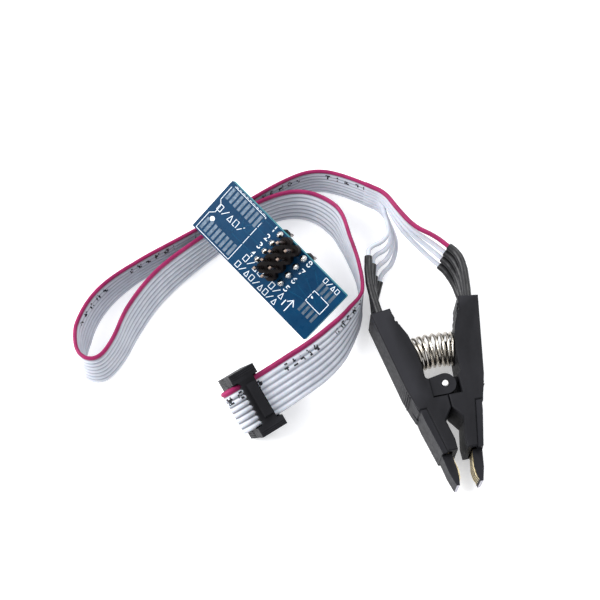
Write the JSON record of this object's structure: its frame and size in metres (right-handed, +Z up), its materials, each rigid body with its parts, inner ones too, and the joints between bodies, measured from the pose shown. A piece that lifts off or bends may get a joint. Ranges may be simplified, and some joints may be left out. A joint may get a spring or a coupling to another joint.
{
  "type": "programmer test clip lead",
  "caption": "Sprung test clip for small-outline chips on a ribbon cable with a ribbon socket, and the loose adapter board that it plugs on.",
  "frame": {"origin": "on the table, under the clip's pivot pin, at the pin's lower end", "axes": "+Z up from the table; +Y away from the tips, with the clip's middle line turned 11.3 degrees from it; +X to the right lever"},
  "size_m": [0.0913, 0.0764, 0.0234],
  "materials": {
    "lever_plastic": "moulded nylon, satin",
    "carrier_plastic": "moulded nylon, satin",
    "contact_gold": "gold plated",
    "pin_steel": "bright",
    "spring_wire": "nickel plated",
    "sleeve_rubber": "heat-shrink tube, satin",
    "ribbon_pvc": "ribbed PVC, satin",
    "marked_wire": "PVC, satin",
    "socket_plastic": "moulded polyester, satin",
    "board_lacquer": "glossy solder lacquer",
    "header_plastic": "moulded",
    "header_gold": "plated, tarnished",
    "solder": "bright solder",
    "pad_metal": "tinned, dull"
  },
  "bodies": {
    "root": {"right_lever": "lever_plastic", "right_contact_carrier": "carrier_plastic", "right_contact_1": "contact_gold", "right_contact_2": "contact_gold", "right_contact_3": "contact_gold", "right_contact_4": "contact_gold", "pivot_pin": "pin_steel", "spring": "spring_wire", "right_sleeve_1": "sleeve_rubber", "right_sleeve_2": "sleeve_rubber", "right_sleeve_3": "sleeve_rubber", "right_sleeve_4": "sleeve_rubber", "right_wire_1": "marked_wire", "right_wire_2": "ribbon_pvc", "right_wire_3": "ribbon_pvc", "right_wire_4": "ribbon_pvc", "left_wire_1": "ribbon_pvc", "left_wire_2": "ribbon_pvc", "left_wire_3": "ribbon_pvc", "left_wire_4": "ribbon_pvc", "ribbon_cable": "ribbon_pvc", "ribbon_twist": "ribbon_pvc", "ribbon_fold": "ribbon_pvc", "socket_housing": "socket_plastic", "socket_cover": "socket_plastic", "strain_relief": "socket_plastic", "socket_contacts": "contact_gold"},
    "left_jaw": {"left_lever": "lever_plastic", "left_contact_carrier": "carrier_plastic", "left_contact_1": "contact_gold", "left_contact_2": "contact_gold", "left_contact_3": "contact_gold", "left_contact_4": "contact_gold", "left_sleeve_1": "sleeve_rubber", "left_sleeve_2": "sleeve_rubber", "left_sleeve_3": "sleeve_rubber", "left_sleeve_4": "sleeve_rubber"},
    "adapter": {"adapter_board": "board_lacquer", "header_strip": "header_plastic", "rear_leg_strip": "header_plastic", "front_leg_strip": "header_plastic", "header_pins": "header_gold", "leg_pins": "header_gold", "solder_joints": "solder", "wide_chip_pads": "pad_metal", "narrow_chip_pads": "pad_metal"}
  },
  "joints": [
    {"name": "jaw_hinge", "type": "hinge", "parent": "root", "child": "left_jaw", "pos_m": [0, 0, 0], "axis": [0, 0, -1], "range_deg": [0, 20], "stiffness_Nm_per_rad": 0.03, "springref_deg": -17.19, "deforming": ["spring", "left_sleeve_1", "left_sleeve_2", "left_sleeve_3", "left_sleeve_4", "left_wire_1", "left_wire_2", "left_wire_3", "left_wire_4"]},
    {"name": "adapter_lift", "type": "slide", "parent": "root", "child": "adapter", "axis": [0, 0, 1], "range_m": [0, 0.03]}
  ]
}
